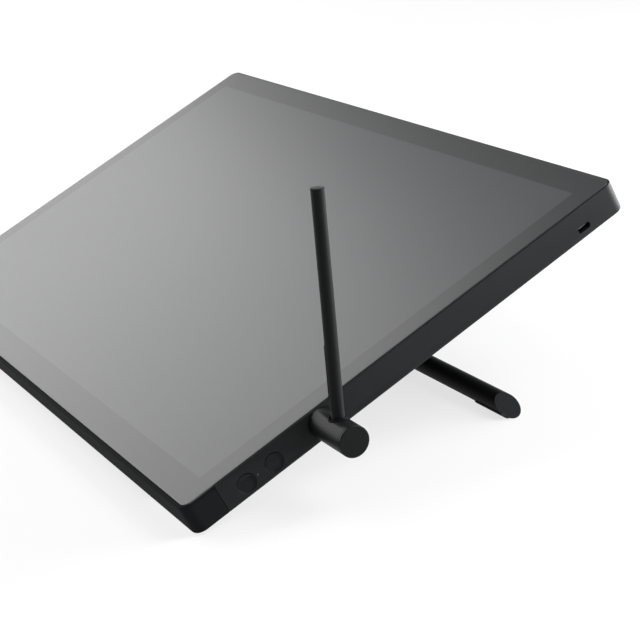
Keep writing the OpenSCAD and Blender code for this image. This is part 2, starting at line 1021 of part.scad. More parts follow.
module tact_switches() {
    body_h = switch_h - switch_plunger;
    color("#35373a")
        in_use()
            for (y = [power_y, function_y])
                translate([button_board_x + button_board_t, y, button_z]) {
                    translate([0, -switch_body / 2, -switch_body / 2])
                        cube([body_h, switch_body, switch_body]);
                    rotate([0, 90, 0])
                        cylinder(d = plunger_d, h = switch_h);
                }
}

module status_led() {
    color("#f2f2ee")
        in_use()
            translate([button_board_x + button_board_t, led_y - led_w / 2, button_z - led_w / 4])
                cube([led_h, led_w, led_w / 2]);
}

module light_pipe() {
    start_x = button_board_x + button_board_t + led_h + light_gap;
    color("#dfe3e6")
        in_use()
            translate([start_x, led_y, button_z])
                rotate([0, 90, 0])
                    cylinder(d = led_d, h = side_x - light_sink - start_x);
}

// Push buttons, drawn along their own axis with z = 0 at the housing's side

module push_button() {
    flange_z = -wall_t - flange_gap - flange_t;
    stem_z = plunger_x + button_travel + contact_gap - side_x;
    translate([0, 0, flange_z])
        cylinder(d = button_d, h = -button_sink - flange_z);
    translate([0, 0, flange_z])
        intersection() {
            cylinder(d = button_d + 2 * (button_gap + ear_over), h = flange_t);
            translate([-button_ear_w / 2, -button_d, 0])
                cube([button_ear_w, 2 * button_d, flange_t]);
        }
    translate([0, 0, stem_z])
        cylinder(d = stem_d, h = flange_z - stem_z + eps);
}

// Finger dish: straight along its upper edge, where it is deepest, and round below
module at_dish_floor() {
    translate([-dish_chord, 0, -button_sink - dish_depth])
        rotate([0, -dish_slope, 0])
            children();
}

module dished_button() {
    difference() {
        push_button();
        intersection() {
            translate([0, 0, -button_sink - dish_depth - eps])
                cylinder(r = dish_r, h = 2 * dish_depth);
            at_dish_floor()
                translate([0, -button_d, 0])
                    cube([2 * button_d, 2 * button_d, button_d]);
        }
    }
}

module power_button() {
    columns = floor(dish_r / dot_pitch);
    rows = floor(2 * dish_r / dot_pitch);
    color(frame_black)
        in_use()
            on_side(power_y, button_z) {
                dished_button();
                at_dish_floor()
                    for (i = [0 : rows], j = [-columns : columns]) {
                        x = dot_margin + i * dot_pitch;
                        y = j * dot_pitch;
                        if (norm([x - dish_chord, y]) + dot_d / 2 <= dish_r - dot_inset)
                            translate([x, y, -eps])
                                cylinder(d = dot_d, h = dot_h + eps);
                    }
            }
}

module function_button() {
    color(frame_black)
        in_use()
            on_side(function_y, button_z)
                dished_button();
}

// Stand: two brackets with friction hinges, two arms and one bar

module hinge_brackets() {
    color(steel_grey)
        in_use()
            difference() {
                union() {
                    for (x = [-arm_x, arm_x])
                        translate([x - bracket_w / 2, hinge_y - bracket_front, recess_z - bracket_t])
                            cube([bracket_w, bracket_front + bracket_back, bracket_t]);
                    at_hinges()
                        for (s = [-1, 1])
                            translate([s * (ear_x + ear_t / 2), 0, 0]) {
                                x_cylinder(ear_r, ear_t);
                                translate([-ear_t / 2, -ear_r, 0])
                                    cube([ear_t, 2 * ear_r, recess_z - bracket_t - hinge_z + eps]);
                            }
                }
                at_hinges()
                    x_cylinder(pin_d / 2 + pin_seat, bracket_w);
                at_hinge_screws()
                    translate([0, 0, recess_z - 2 * bracket_t])
                        cylinder(d = m3_d + screw_fit, h = 4 * bracket_t);
            }
}

module hinge_pins() {
    color("#b4b7bb")
        in_use()
            at_hinges() {
                x_cylinder(pin_d / 2, pin_l + 2 * washer_fit);
                for (s = [-1, 1])
                    translate([s * (pin_l / 2 + washer_fit + pin_head_t / 2), 0, 0])
                        x_cylinder(pin_head_d / 2, pin_head_t);
            }
}

module hinge_washers() {
    color("#d8d6cf")
        in_use()
            at_hinges()
                for (s = [-1, 1])
                    translate([s * (arm_w / 2 + washer_fit + washer_t / 2), 0, 0])
                        difference() {
                            x_cylinder(ear_r - washer_in, washer_t);
                            x_cylinder(pin_d / 2 + pin_fit, 2 * washer_t);
                        }
}

module hinge_screws() {
    tip_z = shield_z - tip_gap;
    start_z = recess_z - bracket_t;
    color(steel_grey)
        in_use()
            at_hinge_screws()
                translate([0, 0, start_z])
                    screw(m3_d, tip_z - start_z, m3_head_d, hinge_head_h);
}

module stand_arms() {
    saddle_z = bar_z + bar_r + saddle_h;
    low_z = bar_z + saddle_cover;
    color(frame_black)
        in_use()
            difference() {
                union() {
                    at_hinges() {
                        x_cylinder(knuckle_r, arm_w);
                        translate([-arm_w / 2, 0, 0])
                            cube([arm_w, knuckle_r, knuckle_r]);
                    }
                    for (x = [-arm_x, arm_x]) {
                        translate([x, hinge_y, low_z])
                            linear_extrude(hinge_z - low_z)
                                rounded_rect(arm_w, arm_t, arm_r);
                        translate([x, hinge_y, low_z])
                            linear_extrude(saddle_z - low_z)
                                rounded_rect(saddle_w, bar_d, saddle_r);
                    }
                }
                at_hinges()
                    x_cylinder(pin_d / 2 + pin_fit, 2 * arm_w);
                translate([0, hinge_y, bar_z])
                    x_cylinder(bar_r + saddle_fit, body_w);
                at_arm_screws()
                    cylinder(d = m4_d + screw_fit, h = bar_r + arm_screw_in + arm_screw_space);
            }
}

module miter_cut() {
    both_sides()
        translate([bar_end, hinge_y, bar_z])
            rotate([0, -bar_miter, 0])
                translate([0, -bar_d, -3 * bar_d])
                    cube([6 * bar_d, 2 * bar_d, 6 * bar_d]);
}

module pad_sector(inner, outer, angle, l) {
    rotate([0, 90, 0])
        rotate([0, 0, -tilt - angle / 2])
            rotate_extrude(angle = angle)
                translate([inner, 0])
                    square([outer - inner, l]);
}

module at_pads() {
    both_sides()
        translate([bar_tip - pad_end - pad_l, hinge_y, bar_z])
            children();
}

module stand_bar() {
    slot_r = bar_r - pad_depth - pad_fit;
    color(frame_black)
        in_use()
            difference() {
                translate([0, hinge_y, bar_z])
                    x_cylinder(bar_r, 2 * bar_tip);
                miter_cut();
                at_pads()
                    translate([-pad_fit, 0, 0])
                        pad_sector(slot_r, 2 * bar_r, pad_angle + pad_slot_angle, pad_l + 2 * pad_fit);
                at_arm_screws() {
                    cylinder(d = m4_d + screw_fit, h = 4 * bar_r, center = true);
                    translate([0, 0, m4_seat - 2 * bar_r])
                        cylinder(d = m4_head_d + 2 * screw_fit, h = 2 * bar_r);
                }
            }
}

module arm_screws() {
    color(steel_grey)
        in_use()
            at_arm_screws()
                translate([0, 0, m4_seat])
                    screw(m4_d, bar_r + arm_screw_in - m4_seat, m4_head_d, m4_head_h);
}

module stand_pads() {
    color(rubber_black)
        in_use()
            difference() {
                at_pads()
                    difference() {
                        pad_sector(bar_r - pad_depth, pad_out_r, pad_angle, pad_l);
                        rotate([0, 90, 0])
                            rotate([0, 0, -tilt])
                                translate([sole_r, -bar_r, -eps])
                                    cube([bar_r, bar_d, pad_l + 2 * eps]);
                    }
                miter_cut();
            }
}

// Pen holder

module holder_socket() {
    color("#4a4c50")
        in_use()
            on_side(holder_y, holder_z)
                translate([0, 0, -wall_t - socket_l])
                    difference() {
                        cylinder(r = peg_r + socket_wall, h = socket_l);
                        translate([0, 0, -eps])
                            cylinder(r = peg_r + peg_fit, h = socket_l + 2 * eps);
                    }
}

module pen_seat() {
    small_r = cone_d / 2 + pen_gap;
    translate([0, 0, cone_bottom - nib_out - pen_gap])
        cylinder(r = nib_r + pen_gap, h = nib_out + cone_l);
    translate([0, 0, cone_bottom - pen_gap])
        cylinder(r1 = small_r, r2 = pen_r + pen_gap, h = cone_l);
    translate([0, 0, cone_top - pen_gap - eps])
        cylinder(r = pen_r + pen_gap, h = 2 * holder_r);
    rotate_extrude()
        pen_flare(pen_r + pen_gap);
}

// Half section of the flare at the mouth of the pen's hole
module pen_flare(r) {
    difference() {
        translate([0, holder_r - flare_r])
            square([r + flare_r, 2 * flare_r]);
        translate([r + flare_r, holder_r - flare_r])
            circle(flare_r);
    }
}

module pen_holder() {
    body_l = holder_l - cap_t - holder_gap;
    color(frame_black)
        in_use()
            difference() {
                on_side(holder_y, holder_z) {
                    translate([0, 0, holder_gap])
                        cylinder(r = holder_r, h = body_l);
                    translate([0, 0, -wall_t - peg_depth])
                        cylinder(r = peg_r, h = wall_t + peg_depth + holder_gap + eps);
                }
                pen_frame_local()
                    pen_seat();
                on_side(holder_y, holder_z)
                    translate([0, 0, holder_l - cap_t - cap_spigot_l - cap_space])
                        cylinder(r = cap_spigot_r + cap_fit, h = 2 * cap_spigot_l);
            }
}

module holder_cap() {
    color(frame_black)
        in_use()
            on_side(holder_y, holder_z)
                translate([0, 0, holder_l - cap_t]) {
                    translate([0, 0, -cap_spigot_l])
                        cylinder(r = cap_spigot_r, h = cap_spigot_l + eps);
                    cylinder(r1 = holder_r - cap_chamfer, r2 = holder_r, h = cap_chamfer);
                    translate([0, 0, cap_chamfer])
                        cylinder(r = holder_r, h = cap_t - 2 * cap_chamfer);
                    translate([0, 0, cap_t - cap_chamfer])
                        cylinder(r1 = holder_r, r2 = holder_r - cap_chamfer, h = cap_chamfer);
                }
}

// Pen

module pen_frame_local() {
    translate([side_x + hole_x, holder_y, holder_z])
        rotate([-pen_lean, 0, 0])
            children();
}

module pen_frame() {
    in_use()
        pen_frame_local()
            children();
}

module switch_prism(grow) {
    rotate([0, 0, switch_side])
        translate([0, 0, switch_z])
            rotate([0, 90, 0])
                linear_extrude(2 * pen_r)
                    stadium(switch_l + 2 * grow, switch_w + 2 * grow);
}

module pen_barrel() {
    color(frame_black)
        pen_frame()
            difference() {
                translate([0, 0, tip_top])
                    cylinder(r = pen_r, h = pen_top - tail_t - tip_top);
                translate([0, 0, tip_top - eps])
                    cylinder(r = bore_r, h = pen_top);
                switch_prism(switch_gap);
            }
}

module pen_tip() {
    color(frame_black)
        pen_frame()
            difference() {
                union() {
                    translate([0, 0, cone_bottom])
                        cylinder(r1 = cone_d / 2, r2 = pen_r, h = cone_l);
                    translate([0, 0, cone_top])
                        cylinder(r = pen_r, h = tip_top - cone_top);
                    translate([0, 0, tip_top - eps])
                        cylinder(r = bore_r - spigot_fit, h = spigot_l);
                }
                translate([0, 0, cone_bottom - eps])
                    cylinder(r = nib_r + nib_fit, h = pen_top);
                translate([0, 0, coil_z0 - coil_fit])
                    cylinder(r = coil_r + coil_fit, h = pen_top);
            }
}

module pen_nib() {
    color("#3c3d40")
        pen_frame() {
            tip = cone_bottom - nib_out;
            translate([0, 0, tip])
                cylinder(r1 = nib_r * nib_flat, r2 = nib_r, h = nib_r);
            translate([0, 0, tip + nib_r])
                cylinder(r = nib_r, h = nib_end - tip - nib_r);
        }
}

module pressure_sensor() {
    color("#77797c")
        pen_frame()
            translate([0, 0, nib_end + sensor_gap])
                cylinder(r = coil_r, h = sensor_l);
}

module pen_coil() {
    color("#7a4a24")
        pen_frame()
            translate([0, 0, coil_z0])
                difference() {
                    cylinder(r = coil_r, h = coil_l);
                    translate([0, 0, -eps])
                        cylinder(r = nib_r + 2 * nib_fit, h = coil_l + 2 * eps);
                }
}

module pen_board() {
    color(board_green)
        pen_frame()
            rotate([0, 0, switch_side])
                translate([pen_board_off - pen_board_t / 2, -pen_board_w / 2, pen_board_z])
                    cube([pen_board_t, pen_board_w, pen_board_l]);
}

module side_switch() {
    color("#232426")
        pen_frame()
            intersection() {
                switch_prism(0);
                difference() {
                    cylinder(r = pen_r + switch_proud, h = pen_top);
                    translate([0, 0, -eps])
                        cylinder(r = switch_in, h = pen_top + 2 * eps);
                }
            }
}

module pen_tail() {
    color("#8f9194")
        pen_frame() {
            translate([0, 0, pen_top - tail_t])
                cylinder(r = pen_r, h = tail_t);
            translate([0, 0, pen_top - tail_t - tail_spigot])
                cylinder(r = bore_r - spigot_fit, h = tail_spigot + eps);
        }
}

cover_glass();
glass_gasket();
lcd_cell();
backlight_unit();
sensor_board();
sensor_shield();
chassis();
side_frame();
front_rail();
rear_cover();
cover_screws();
frame_screws();
vesa_inserts();
front_foot();
rear_feet();
main_board();
board_chips();
thermal_pad();
heat_spreader();
panel_driver_board();
panel_flexes();
usb_board();
usb_shell();
usb_tongue();
button_board();
tact_switches();
status_led();
light_pipe();
power_button();
function_button();
hinge_brackets();
hinge_pins();
hinge_washers();
hinge_screws();
stand_arms();
stand_bar();
stand_pads();
arm_screws();
holder_socket();
pen_holder();
holder_cap();
pen_barrel();
pen_tip();
pen_nib();
pressure_sensor();
pen_coil();
pen_board();
side_switch();
pen_tail();
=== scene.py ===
import math

import bmesh
import bpy
from mathutils import Matrix, Quaternion, Vector


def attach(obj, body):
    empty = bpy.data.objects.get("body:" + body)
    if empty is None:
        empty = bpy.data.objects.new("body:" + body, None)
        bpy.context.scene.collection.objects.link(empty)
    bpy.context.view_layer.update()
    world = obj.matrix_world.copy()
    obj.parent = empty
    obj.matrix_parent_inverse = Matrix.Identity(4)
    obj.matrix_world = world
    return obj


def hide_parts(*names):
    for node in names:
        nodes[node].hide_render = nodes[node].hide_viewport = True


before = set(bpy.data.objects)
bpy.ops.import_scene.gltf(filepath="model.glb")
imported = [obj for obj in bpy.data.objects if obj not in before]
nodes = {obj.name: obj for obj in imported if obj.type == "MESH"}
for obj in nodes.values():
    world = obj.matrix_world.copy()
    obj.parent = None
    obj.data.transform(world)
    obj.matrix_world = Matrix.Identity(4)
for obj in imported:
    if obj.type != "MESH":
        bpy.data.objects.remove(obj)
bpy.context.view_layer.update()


# Chassis: a shallow tray of die-cast aluminium alloy with screw posts on its underside.
# Cast, then bead blasted, so it is pale, matt and finely pitted. Everything else is screwed to it.
# The eye gets a soft grey sheen. All grain in this file is drawn coarser than the real one, to show.
MM = 0.001


def linear(hex_colour, alpha=1.0):
    channels = [int(hex_colour[i:i + 2], 16) / 255 for i in (1, 3, 5)]
    return tuple(c / 12.92 if c <= 0.04045 else ((c + 0.055) / 1.055) ** 2.4 for c in channels) + (alpha,)


def add(tree, kind, inputs=None, **settings):
    node = tree.nodes.new(kind)
    for name, value in settings.items():
        setattr(node, name, value)
    for name, value in (inputs or {}).items():
        if isinstance(value, bpy.types.NodeSocket):
            tree.links.new(value, node.inputs[name])
        else:
            node.inputs[name].default_value = value
    return node


def finish_named(name):
    material = bpy.data.materials.new(name)
    material.use_nodes = True
    tree = material.node_tree
    tree.nodes.clear()
    return material, tree


def grained(name, dark, light, rough, grain, depth, patch=18, metallic=0.0, specular=0.5, painted_end_highlight=None):
    """A finely grained surface. rough is (least, most), grain, depth and patch are in mm.

    The last argument is a lighter colour painted on faces that look along the X axis: a painted highlight.
    """
    material, tree = finish_named(name)
    place = add(tree, "ShaderNodeTexCoord").outputs["Object"]
    fine = add(tree, "ShaderNodeTexNoise", {"Vector": place, "Scale": 1 / (grain * MM), "Detail": 3.0})
    broad = add(tree, "ShaderNodeTexNoise", {"Vector": place, "Scale": 1 / (patch * MM), "Detail": 2.0})
    tone = add(tree, "ShaderNodeMix", {0: broad.outputs["Fac"], 6: linear(dark), 7: linear(light)},
               data_type="RGBA")
    # Painted highlight: faces that look along X are given a lighter colour.
    if painted_end_highlight:
        normal = add(tree, "ShaderNodeNewGeometry").outputs["True Normal"]
        facing = add(tree, "ShaderNodeSeparateXYZ", {"Vector": normal})
        end_highlight_mask = add(tree, "ShaderNodeMath", {0: facing.outputs["X"]}, operation="ABSOLUTE")
        end_highlight_mask = add(tree, "ShaderNodeMapRange", {"Value": end_highlight_mask.outputs[0], "From Min": 0.45, "From Max": 0.55})
        tone = add(tree, "ShaderNodeMix", {0: end_highlight_mask.outputs["Result"], 6: tone.outputs[2], 7: linear(painted_end_highlight)},
                   data_type="RGBA")
    gloss = add(tree, "ShaderNodeMapRange", {"Value": fine.outputs["Fac"], "From Min": 0.3, "From Max": 0.7,
                                             "To Min": rough[0], "To Max": rough[1]})
    bump = add(tree, "ShaderNodeBump", {"Height": fine.outputs["Fac"], "Strength": 1.0, "Distance": depth * MM})
    surface = add(tree, "ShaderNodeBsdfPrincipled",
                  {"Base Color": tone.outputs[2], "Roughness": gloss.outputs["Result"], "Metallic": metallic,
                   "Normal": bump.outputs["Normal"], "Specular IOR Level": specular})
    add(tree, "ShaderNodeOutputMaterial", {"Surface": surface.outputs["BSDF"]})
    return material


def dress(material, *names):
    for name in names:
        nodes[name].data.materials.clear()
        nodes[name].data.materials.append(material)


cast_aluminium = grained("bead_blasted_cast_aluminium", "#9a9da1", "#adb0b3", (0.42, 0.6), 0.7, 0.03,
                         metallic=1.0)
dress(cast_aluminium, "chassis")


# Screen stack: cell, backlight, pen sensor board and its steel shield, laid into the chassis.
# Rolled, laminated and printed sheets, hidden once the glass is on: dark, white, silver and green.
panel_glass = grained("lcd_cell_glass", "#17181b", "#1c1d21", (0.08, 0.14), 2.0, 0.0005)
diffuser_film = grained("white_diffuser_film", "#dcdddd", "#e8e8e8", (0.5, 0.6), 0.8, 0.004)
zinc_steel = grained("zinc_plated_steel", "#84878b", "#a3a6aa", (0.28, 0.42), 0.9, 0.006, patch=7,
                     metallic=1.0)
solder_mask = grained("green_solder_mask", "#153c2a", "#1d5038", (0.32, 0.45), 1.4, 0.012, patch=5)
dress(panel_glass, "lcd_cell")
dress(diffuser_film, "backlight_unit")
dress(zinc_steel, "sensor_shield")
dress(solder_mask, "sensor_board", "main_board", "panel_driver_board", "usb_board", "button_board", "pen_board")


# Electronics: chips in black epoxy, silicone pad and aluminium spreader, amber polyimide flexes.
# Soldered to the boards under the chassis, behind the vents of the rear cover.
epoxy_black = grained("moulded_chip_epoxy", "#17181a", "#1f2022", (0.5, 0.62), 0.5, 0.01, patch=6)
silicone_pad = grained("thermal_silicone", "#7d97ad", "#8da6ba", (0.6, 0.75), 1.2, 0.02)
polyimide = grained("amber_polyimide_film", "#8a5a1c", "#a06f2a", (0.25, 0.35), 1.0, 0.003)
switch_nylon = grained("black_switch_nylon", "#232427", "#2c2d30", (0.45, 0.6), 0.5, 0.01)
dress(epoxy_black, "board_chips")
dress(silicone_pad, "thermal_pad")
dress(cast_aluminium, "heat_spreader")
dress(polyimide, "panel_flexes")
dress(switch_nylon, "tact_switches", "holder_socket")


# Frame: side frame round three sides and front rail round the near corners, with a seam each side.
# Moulded in a black polycarbonate blend and screwed up into the chassis.
# The eye gets a satin black that brightens towards the far corner, and a duller rail in front.
def softened(node, width, segments=2, angle=35):
    """A copy of a CAD node with merged points and its sharp edges rounded by width in mm."""
    source = nodes[node]
    shape = bmesh.new()
    shape.from_mesh(source.data)
    bmesh.ops.remove_doubles(shape, verts=shape.verts, dist=0.002 * MM)
    bmesh.ops.dissolve_limit(shape, angle_limit=math.radians(0.5), verts=shape.verts, edges=shape.edges)
    mesh = bpy.data.meshes.new(node + "_skin")
    shape.to_mesh(mesh)
    shape.free()
    piece = bpy.data.objects.new(node + "_skin", mesh)
    bpy.context.scene.collection.objects.link(piece)
    mesh.shade_smooth()
    mesh.set_sharp_from_angle(angle=math.radians(angle))
    if width:
        rounding = piece.modifiers.new("edge_rounding", "BEVEL")
        rounding.width = width * MM
        rounding.segments = segments
        rounding.limit_method = "ANGLE"
        rounding.angle_limit = math.radians(angle)
        rounding.harden_normals = True
    return piece


def fit(piece, body, material, slot, *stood_for):
    piece.data.materials.clear()
    piece.data.materials.append(material)
    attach(piece, body)
    if stood_for:
        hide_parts(*stood_for)
    return piece


satin_black = grained("satin_moulded_polycarbonate", "#1a1b1c", "#1f2021", (0.48, 0.58), 0.55, 0.008,
                      patch=40, specular=0.1)
eroded_rail = grained("spark_eroded_polycarbonate", "#18191a", "#1d1e1f", (0.85, 0.95), 0.55, 0.02,
                      patch=40, specular=0.06)
fit(softened("side_frame", 0.12), "tablet", satin_black, "frame_black", "side_frame")
fit(softened("front_rail", 0.12), "tablet", eroded_rail, "frame_black", "front_rail")


# Cover glass: one sheet of chemically hardened glass, its edge ground round, its face etched against glare.
# A dark border is printed on its underside. It lies on a foam tape in the frame's rebate.
# The etch blurs the studio light into one broad grey ramp, a little darker over the border.
TILT = math.radians(20)
DESK_Y, DESK_Z = -7.4417, 0.5638
ON_DESK = Matrix.Translation((0, DESK_Y * MM, DESK_Z * MM)) @ Matrix.Rotation(TILT, 4, "X")
GLASS = (559.3, 335.4)
GLASS_FRONT = 2.6
GLASS_MID = GLASS_FRONT + GLASS[1] / 2
GLASS_TOP = 21.16
GLASS_T = 1.1
GLASS_CORNER_R = 6
GROUND_EDGE = 0.35
PICTURE = (526.9, 296.4)
FRONT_BORDER = 19.7
PICTURE_MID = GLASS_FRONT + FRONT_BORDER + PICTURE[1] / 2
BORDER_BLUR = 0.4


def sheet_of_glass():
    shape = bmesh.new()
    bmesh.ops.create_grid(shape, x_segments=1, y_segments=1, size=0.5)
    bmesh.ops.scale(shape, vec=(GLASS[0] * MM, GLASS[1] * MM, 1), verts=shape.verts)
    bmesh.ops.bevel(shape, geom=shape.verts[:], offset=GLASS_CORNER_R * MM, offset_type="OFFSET", affect="VERTICES",
                    segments=16, profile=0.5, material=-1)
    raised = bmesh.ops.extrude_face_region(shape, geom=shape.faces[:])["geom"]
    top = [v for v in raised if isinstance(v, bmesh.types.BMVert)]
    bmesh.ops.translate(shape, vec=(0, 0, GLASS_T * MM), verts=top)
    rim = [e for e in shape.edges if all(v in top for v in e.verts)]
    bmesh.ops.bevel(shape, geom=rim, offset=GROUND_EDGE * MM, offset_type="OFFSET", affect="EDGES",
                    segments=4, profile=0.5, material=-1)
    bmesh.ops.recalc_face_normals(shape, faces=shape.faces)
    bmesh.ops.translate(shape, vec=(0, GLASS_MID * MM, (GLASS_TOP - GLASS_T) * MM), verts=shape.verts)
    bmesh.ops.transform(shape, matrix=ON_DESK, verts=shape.verts)
    mesh = bpy.data.meshes.new("cover_glass_sheet")
    shape.to_mesh(mesh)
    shape.free()
    mesh.shade_smooth()
    mesh.set_sharp_from_angle(angle=math.radians(40))
    piece = bpy.data.objects.new("cover_glass_sheet", mesh)
    bpy.context.scene.collection.objects.link(piece)
    return piece


def etched_glass():
    material, tree = finish_named("etched_cover_glass")
    place = add(tree, "ShaderNodeTexCoord").outputs["Object"]
    flat = add(tree, "ShaderNodeMapping", {"Vector": place, "Rotation": (-TILT, 0, 0)}, vector_type="POINT")
    parts = add(tree, "ShaderNodeSeparateXYZ", {"Vector": flat.outputs["Vector"]})
    off_x = add(tree, "ShaderNodeMath", {0: parts.outputs["X"]}, operation="ABSOLUTE")
    mid = PICTURE_MID * MM + DESK_Y * MM * math.cos(TILT) + DESK_Z * MM * math.sin(TILT)
    from_mid = add(tree, "ShaderNodeMath", {0: parts.outputs["Y"], 1: mid}, operation="SUBTRACT")
    off_y = add(tree, "ShaderNodeMath", {0: from_mid.outputs[0]}, operation="ABSOLUTE")
    over_x = add(tree, "ShaderNodeMath", {0: off_x.outputs[0], 1: PICTURE[0] / 2 * MM}, operation="SUBTRACT")
    over_y = add(tree, "ShaderNodeMath", {0: off_y.outputs[0], 1: PICTURE[1] / 2 * MM}, operation="SUBTRACT")
    over = add(tree, "ShaderNodeMath", {0: over_x.outputs[0], 1: over_y.outputs[0]}, operation="MAXIMUM")
    inside = add(tree, "ShaderNodeMapRange", {"Value": over.outputs[0], "From Min": -BORDER_BLUR * MM,
                                              "From Max": BORDER_BLUR * MM, "To Min": 1.0, "To Max": 0.0})
    tone = add(tree, "ShaderNodeMix", {0: inside.outputs["Result"], 6: linear("#1d1e20"), 7: linear("#38393b")},
               data_type="RGBA")
    normal = add(tree, "ShaderNodeNewGeometry").outputs["True Normal"]
    facing = add(tree, "ShaderNodeVectorMath", {0: normal, 1: (0, -math.sin(TILT), math.cos(TILT))},
                 operation="DOT_PRODUCT")
    ground = add(tree, "ShaderNodeMapRange", {"Value": facing.outputs["Value"], "From Min": 0.5,
                                              "From Max": 0.9, "To Min": 1.0, "To Max": 0.0})
    tone = add(tree, "ShaderNodeMix", {0: ground.outputs["Result"], 6: tone.outputs[2], 7: linear("#2b2c2e")},
               data_type="RGBA")
    etch = add(tree, "ShaderNodeTexNoise", {"Vector": place, "Scale": 1 / (0.5 * MM), "Detail": 2.0})
    gloss = add(tree, "ShaderNodeMapRange", {"Value": etch.outputs["Fac"], "From Min": 0.3, "From Max": 0.7,
                                             "To Min": 0.41, "To Max": 0.47})
    bump = add(tree, "ShaderNodeBump", {"Height": etch.outputs["Fac"], "Strength": 1.0, "Distance": 0.0015 * MM})
    surface = add(tree, "ShaderNodeBsdfPrincipled",
                  {"Base Color": tone.outputs[2], "Roughness": gloss.outputs["Result"], "IOR": 1.52,
                   "Normal": bump.outputs["Normal"]})
    add(tree, "ShaderNodeOutputMaterial", {"Surface": surface.outputs["BSDF"]})
    return material


foam_tape = grained("black_foam_tape", "#131314", "#1a1a1b", (0.8, 0.9), 0.6, 0.04)
dress(foam_tape, "glass_gasket")
fit(sheet_of_glass(), "tablet", etched_glass(), "etched_glass", "cover_glass")


# Rear cover: one moulded plate with the recess that the stand folds into, vents and screw bosses.
# Black ABS with a coarser spark-eroded texture, held by ten screws. Brass inserts are pressed in.
# The eye gets a dull black plate, with small silver and yellow dots at the screws and inserts.
eroded_black = grained("spark_eroded_abs", "#1d1e1f", "#232425", (0.5, 0.66), 0.7, 0.014, patch=45)
turned_brass = grained("turned_brass", "#a8863f", "#bd9c55", (0.25, 0.36), 0.5, 0.004, patch=6,
                       metallic=1.0)
fit(softened("rear_cover", 0.15), "tablet", eroded_black, "cover_black", "rear_cover")
dress(turned_brass, "vesa_inserts")
dress(zinc_steel, "cover_screws", "frame_screws")


# Feet: a wedge of black rubber along the front edge and two round ones at the back.
# Moulded silicone rubber, stuck on with adhesive, flat black with no shine.
soft_rubber = grained("moulded_silicone_rubber", "#161617", "#1c1c1d", (0.7, 0.85), 0.6, 0.012, patch=12)
fit(softened("front_foot", 0.2), "tablet", soft_rubber, "rubber", "front_foot")
fit(softened("rear_feet", 0.5, 3), "tablet", soft_rubber, "rubber", "rear_feet")


# Data socket: a drawn steel shell with a grey tongue, soldered to its own board in the right side.
# The shell is plated in black nickel, so the socket reads as a dark slot.
black_nickel = grained("black_nickel_plated_steel", "#1c1d1f", "#27282a", (0.3, 0.42), 0.6, 0.004,
                       patch=6, metallic=1.0)
tongue_polymer = grained("grey_tongue_polymer", "#5a5c5f", "#66686b", (0.45, 0.55), 0.4, 0.003)
dress(black_nickel, "usb_shell")
dress(tongue_polymer, "usb_tongue")


# Controls: power button with raised dots, function button with a D-shaped dish, tiny status light.
# Moulded caps, each held by two ears behind the wall. Their finish is a shade lighter and duller
# than the frame's, so that the round gaps and the dishes read.
light_guide = grained("clear_light_guide", "#404346", "#4a4d50", (0.3, 0.4), 0.8, 0.002)
button_plastic = grained("satin_button_plastic", "#232425", "#282a2b", (0.5, 0.6), 0.5, 0.004, specular=0.02)
fit(softened("power_button", 0.08), "power_button", button_plastic, "frame_black", "power_button")
fit(softened("function_button", 0.1), "function_button", button_plastic, "frame_black", "function_button")
dress(light_guide, "light_pipe", "status_led")


# Stand: two arms on friction hinges carry one round bar with slanted ends and let-in rubber pads.
# Arms and bar are anodised aluminium in black, the brackets are pressed steel.
# The bar is nearly black along its side. Faces of arms and bar that look along X, the bar's end faces among them,
# are painted lighter: a painted highlight.
washer_nylon = grained("natural_nylon", "#c9c7bf", "#d8d6cf", (0.4, 0.5), 0.6, 0.006)
anodised_black = grained("black_anodised_aluminium", "#0d0e0f", "#111213", (0.5, 0.6), 0.45, 0.004, patch=30,
                         specular=0.05, painted_end_highlight="#2a2b2d")
dress(zinc_steel, "hinge_brackets", "hinge_pins", "hinge_screws", "arm_screws")
dress(washer_nylon, "hinge_washers")
fit(softened("stand_arms", 0.35), "stand", anodised_black, "stand_black", "stand_arms")
fit(softened("stand_bar", 0.25), "stand", anodised_black, "stand_black", "stand_bar")
fit(softened("stand_pads", 0.2), "stand", soft_rubber, "rubber", "stand_pads")


# Pen holder: a round bar with a peg that plugs into the side, a flared hole for the pen and an end cap.
# Turned from black acetal, with one soft highlight along the bar. The cap is pressed in.
# A soft grommet stands round the hole as a low lip, dull where the bar shines.
HOLDER_R = 9.8
PEN_FOOT = Vector((301.55, 99.4, 10.28)) * MM
PEN_LEAN = math.radians(-23.85)
PEN = ON_DESK @ Matrix.Translation(PEN_FOOT) @ Matrix.Rotation(PEN_LEAN, 4, "X")
LIP = [(4.85, -3.0), (4.85, 0.2), (4.95, 0.5), (5.2, 0.72), (5.5, 0.72), (5.8, 0.5), (5.95, 0.2), (6.0, -0.6)]


def turned(name, profile, saddle=0.0):
    """Spins a profile of (radius, height) in mm round the pen's axis.

    saddle is the radius of the crosswise bar whose surface the heights are counted from.
    """
    shape = bmesh.new()
    points = [shape.verts.new((r * MM, 0, h * MM)) for r, h in profile]
    following = points[1:] + points[:1] if profile[-1][0] else points[1:]
    edges = [shape.edges.new(pair) for pair in zip(points, following)]
    bmesh.ops.spin(shape, geom=points + edges, cent=(0, 0, 0), axis=(0, 0, 1), angle=math.tau, steps=64,
                   use_merge=True)
    bmesh.ops.remove_doubles(shape, verts=shape.verts, dist=0.001 * MM)
    bmesh.ops.recalc_face_normals(shape, faces=shape.faces)
    for vert in shape.verts if saddle else ():
        vert.co.z += math.sqrt((saddle * MM) ** 2 - vert.co.y ** 2)
    bmesh.ops.transform(shape, matrix=PEN, verts=shape.verts)
    mesh = bpy.data.meshes.new(name)
    shape.to_mesh(mesh)
    shape.free()
    mesh.shade_smooth()
    mesh.set_sharp_from_angle(angle=math.radians(40))
    piece = bpy.data.objects.new(name, mesh)
    bpy.context.scene.collection.objects.link(piece)
    return piece


